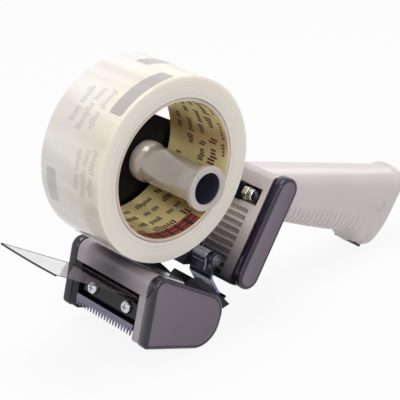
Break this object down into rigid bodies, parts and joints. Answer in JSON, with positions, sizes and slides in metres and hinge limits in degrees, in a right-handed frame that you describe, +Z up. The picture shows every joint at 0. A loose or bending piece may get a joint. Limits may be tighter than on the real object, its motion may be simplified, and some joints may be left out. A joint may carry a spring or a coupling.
{
  "type": "packing tape dispenser",
  "caption": "Hand-held packing tape dispenser: clear tape roll on a cantilever hub, spring-loaded head with toothed blade and guide roller, ridged pistol grip.",
  "frame": {"origin": "middle of the box's base, on the surface the tool stands on", "axes": "+X from the tape's free end and head towards the grip, +Y from the open side of the roll to the side plate, +Z up with the tool standing on the heel of its head and on its butt"},
  "size_m": [0.2824, 0.073, 0.1564],
  "materials": {
    "grey_plastic": "warm light grey, slightly textured",
    "hub_plastic": "warm grey, satin gloss",
    "plum_plastic": "dark plum grey, smooth with glossy edges",
    "black_plastic": "black, satin",
    "black_steel": "black coating, satin",
    "grey_metal": "dull cast grey",
    "bright_steel": "bright plated",
    "spring_steel": "drawn wire, bright",
    "rubber": "dark grey rubber",
    "card": "yellow paper inside a cardboard tube",
    "clear_tape": "clear film, cream where wound"
  },
  "bodies": {
    "frame": {"body_block": "grey_plastic", "handle": "grey_plastic", "butt_plug": "black_plastic", "end_cap_near": "plum_plastic", "end_cap_far": "plum_plastic", "side_plate": "black_steel", "plate_screw_upper": "bright_steel", "plate_screw_lower": "bright_steel", "hub_screw": "bright_steel", "hub_nut": "bright_steel", "slot_block": "black_plastic", "slot_bolt": "bright_steel", "slot_nut": "bright_steel", "slot_collar": "bright_steel", "slot_dome": "black_plastic", "pivot_bar": "grey_metal", "pivot_pin": "bright_steel", "pivot_clip": "bright_steel", "torsion_spring": "spring_steel"},
    "hub": {"hub_sleeve": "hub_plastic"},
    "tape": {"tape_core": "card", "tape_roll": "clear_tape"},
    "head": {"head_housing": "grey_plastic", "head_cap_near": "plum_plastic", "head_cap_far": "plum_plastic", "head_frame": "black_steel", "pivot_strap": "bright_steel", "strap_rivet_near": "bright_steel", "strap_rivet_far": "bright_steel", "blade": "bright_steel", "blade_support": "black_plastic", "blade_clamp": "black_steel", "blade_screw_near": "bright_steel", "blade_screw_far": "bright_steel", "roller_axle": "bright_steel", "tape_web": "clear_tape", "tape_tail": "clear_tape"},
    "roller": {"roller_core": "grey_plastic", "roller_tyre": "rubber"}
  },
  "joints": [
    {"name": "tape_roll_spin", "type": "hinge", "parent": "frame", "child": "tape", "pos_m": [-0.06234, 0, 0.10474], "axis": [0, 1, 0], "continuous": true},
    {"name": "hub_spin", "type": "hinge", "parent": "frame", "child": "hub", "pos_m": [-0.04148, 0, 0.08955], "axis": [0, 1, 0], "continuous": true},
    {"name": "head_pivot", "type": "hinge", "parent": "frame", "child": "head", "pos_m": [-0.0273, 0, 0.03944], "axis": [0, -1, 0], "range_deg": [0, 12], "stiffness_Nm_per_rad": 0.4, "springref_deg": -28.65},
    {"name": "roller_spin", "type": "hinge", "parent": "head", "child": "roller", "pos_m": [-0.05011, 0, 0.02414], "axis": [0, 1, 0], "continuous": true}
  ],
  "couplings": [
    {"joint": "hub_spin", "follows": "tape_roll_spin", "ratio": 3.175},
    {"joint": "roller_spin", "follows": "tape_roll_spin", "ratio": -7.9539}
  ]
}
